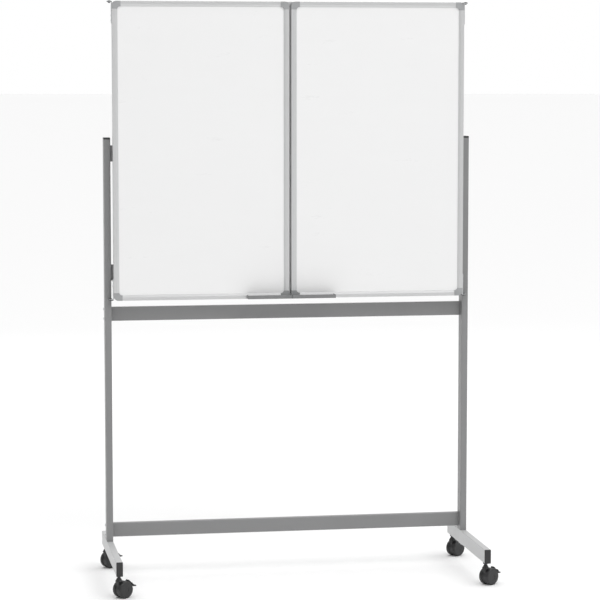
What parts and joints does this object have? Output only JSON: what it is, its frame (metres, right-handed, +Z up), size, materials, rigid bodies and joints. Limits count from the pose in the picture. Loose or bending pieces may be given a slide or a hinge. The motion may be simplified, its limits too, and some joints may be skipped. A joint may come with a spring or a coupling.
{
  "type": "mobile folding whiteboard",
  "caption": "Mobile whiteboard with a fixed centre board, two hinged wings that close over it, a pen tray and a tube stand on braked swivel casters.",
  "frame": {"origin": "on the floor, on the board's centreline, midway along the feet", "axes": "+Z up, +X to the right and +Y away from someone who faces the closed wings"},
  "size_m": [1.3111, 0.5581, 1.951],
  "materials": {
    "frame_aluminium": "satin anodised aluminium extrusion",
    "corner_plastic": "grey moulded plastic",
    "whiteboard_enamel": "smooth white enamelled steel writing sheet",
    "core_board": "fibreboard core, hidden in the frame",
    "tray_plastic": "dark grey moulded plastic",
    "steel_zinc": "zinc-plated steel",
    "steel_dark": "black-passivated steel",
    "upright_paint": "mid grey powder coat",
    "foot_paint": "light silver-grey powder coat",
    "black_plastic": "black moulded plastic",
    "wheel_plastic": "black hard nylon"
  },
  "bodies": {
    "stand": {"upright_left": "upright_paint", "upright_right": "upright_paint", "upright_caps": "black_plastic", "lower_rail": "upright_paint", "upper_rail": "upright_paint", "tube_plugs": "black_plastic", "rail_bolts": "steel_zinc", "foot_left": "foot_paint", "foot_right": "foot_paint", "foot_end_caps": "black_plastic", "foot_bolts": "steel_zinc", "board_brackets": "upright_paint", "board_screws": "steel_zinc", "hinge_pins": "steel_dark", "centre_hinge_leaves": "steel_dark", "centre_board_stiles": "frame_aluminium", "centre_board_rails": "frame_aluminium", "centre_board_corners": "corner_plastic", "centre_board_sheets": "whiteboard_enamel", "centre_board_core": "core_board", "caster_studs": "steel_dark", "caster_nuts": "steel_dark"},
    "wing_left": {"wing_left_stiles": "frame_aluminium", "wing_left_rails": "frame_aluminium", "wing_left_corners": "corner_plastic", "wing_left_sheets": "whiteboard_enamel", "wing_left_core": "core_board", "wing_left_pen_tray": "tray_plastic", "wing_left_hinge_leaves": "steel_dark", "wing_left_screws": "steel_zinc"},
    "wing_right": {"wing_right_stiles": "frame_aluminium", "wing_right_rails": "frame_aluminium", "wing_right_corners": "corner_plastic", "wing_right_sheets": "whiteboard_enamel", "wing_right_core": "core_board", "wing_right_pen_tray": "tray_plastic", "wing_right_hinge_leaves": "steel_dark", "wing_right_screws": "steel_zinc"},
    "caster_front_left": {"caster_front_left_housing": "black_plastic", "caster_front_left_axle": "steel_zinc"},
    "caster_front_left_wheel_1": {"caster_front_left_wheel_1": "wheel_plastic"},
    "caster_front_left_wheel_2": {"caster_front_left_wheel_2": "wheel_plastic"},
    "caster_front_left_brake": {"caster_front_left_brake_lever": "black_plastic"},
    "caster_front_right": {"caster_front_right_housing": "black_plastic", "caster_front_right_axle": "steel_zinc"},
    "caster_front_right_wheel_1": {"caster_front_right_wheel_1": "wheel_plastic"},
    "caster_front_right_wheel_2": {"caster_front_right_wheel_2": "wheel_plastic"},
    "caster_front_right_brake": {"caster_front_right_brake_lever": "black_plastic"},
    "caster_rear_left": {"caster_rear_left_housing": "black_plastic", "caster_rear_left_axle": "steel_zinc"},
    "caster_rear_left_wheel_1": {"caster_rear_left_wheel_1": "wheel_plastic"},
    "caster_rear_left_wheel_2": {"caster_rear_left_wheel_2": "wheel_plastic"},
    "caster_rear_left_brake": {"caster_rear_left_brake_lever": "black_plastic"},
    "caster_rear_right": {"caster_rear_right_housing": "black_plastic", "caster_rear_right_axle": "steel_zinc"},
    "caster_rear_right_wheel_1": {"caster_rear_right_wheel_1": "wheel_plastic"},
    "caster_rear_right_wheel_2": {"caster_rear_right_wheel_2": "wheel_plastic"},
    "caster_rear_right_brake": {"caster_rear_right_brake_lever": "black_plastic"}
  },
  "joints": [
    {"name": "wing_left_hinge", "type": "hinge", "parent": "stand", "child": "wing_left", "pos_m": [-0.6075, 0.059, 1.45], "axis": [0, 0, -1], "range_deg": [0, 180]},
    {"name": "wing_right_hinge", "type": "hinge", "parent": "stand", "child": "wing_right", "pos_m": [0.6075, 0.059, 1.45], "axis": [0, 0, 1], "range_deg": [0, 180]},
    {"name": "caster_front_left_swivel", "type": "hinge", "parent": "stand", "child": "caster_front_left", "pos_m": [-0.61605, -0.2425, 0.053], "axis": [0, 0, 1], "continuous": true},
    {"name": "caster_front_left_wheel_1_spin", "type": "hinge", "parent": "caster_front_left", "child": "caster_front_left_wheel_1", "pos_m": [-0.60259, -0.23386, 0.028], "axis": [0.5402, -0.8415, 0], "continuous": true},
    {"name": "caster_front_left_wheel_2_spin", "type": "hinge", "parent": "caster_front_left", "child": "caster_front_left_wheel_2", "pos_m": [-0.60259, -0.23386, 0.028], "axis": [0.5402, -0.8415, 0], "continuous": true},
    {"name": "caster_front_left_brake_pivot", "type": "hinge", "parent": "caster_front_left", "child": "caster_front_left_brake", "pos_m": [-0.5866, -0.22359, 0.037], "axis": [0.5402, -0.8415, 0], "range_deg": [-12, 0]},
    {"name": "caster_front_right_swivel", "type": "hinge", "parent": "stand", "child": "caster_front_right", "pos_m": [0.61605, -0.2425, 0.053], "axis": [0, 0, 1], "continuous": true},
    {"name": "caster_front_right_wheel_1_spin", "type": "hinge", "parent": "caster_front_right", "child": "caster_front_right_wheel_1", "pos_m": [0.62951, -0.23386, 0.028], "axis": [0.5402, -0.8415, 0], "continuous": true},
    {"name": "caster_front_right_wheel_2_spin", "type": "hinge", "parent": "caster_front_right", "child": "caster_front_right_wheel_2", "pos_m": [0.62951, -0.23386, 0.028], "axis": [0.5402, -0.8415, 0], "continuous": true},
    {"name": "caster_front_right_brake_pivot", "type": "hinge", "parent": "caster_front_right", "child": "caster_front_right_brake", "pos_m": [0.6455, -0.22359, 0.037], "axis": [0.5402, -0.8415, 0], "range_deg": [-12, 0]},
    {"name": "caster_rear_left_swivel", "type": "hinge", "parent": "stand", "child": "caster_rear_left", "pos_m": [-0.61605, 0.2425, 0.053], "axis": [0, 0, 1], "continuous": true},
    {"name": "caster_rear_left_wheel_1_spin", "type": "hinge", "parent": "caster_rear_left", "child": "caster_rear_left_wheel_1", "pos_m": [-0.60259, 0.25114, 0.028], "axis": [0.5402, -0.8415, 0], "continuous": true},
    {"name": "caster_rear_left_wheel_2_spin", "type": "hinge", "parent": "caster_rear_left", "child": "caster_rear_left_wheel_2", "pos_m": [-0.60259, 0.25114, 0.028], "axis": [0.5402, -0.8415, 0], "continuous": true},
    {"name": "caster_rear_left_brake_pivot", "type": "hinge", "parent": "caster_rear_left", "child": "caster_rear_left_brake", "pos_m": [-0.5866, 0.26141, 0.037], "axis": [0.5402, -0.8415, 0], "range_deg": [-12, 0]},
    {"name": "caster_rear_right_swivel", "type": "hinge", "parent": "stand", "child": "caster_rear_right", "pos_m": [0.61605, 0.2425, 0.053], "axis": [0, 0, 1], "continuous": true},
    {"name": "caster_rear_right_wheel_1_spin", "type": "hinge", "parent": "caster_rear_right", "child": "caster_rear_right_wheel_1", "pos_m": [0.62951, 0.25114, 0.028], "axis": [0.5402, -0.8415, 0], "continuous": true},
    {"name": "caster_rear_right_wheel_2_spin", "type": "hinge", "parent": "caster_rear_right", "child": "caster_rear_right_wheel_2", "pos_m": [0.62951, 0.25114, 0.028], "axis": [0.5402, -0.8415, 0], "continuous": true},
    {"name": "caster_rear_right_brake_pivot", "type": "hinge", "parent": "caster_rear_right", "child": "caster_rear_right_brake", "pos_m": [0.6455, 0.26141, 0.037], "axis": [0.5402, -0.8415, 0], "range_deg": [-12, 0]}
  ]
}
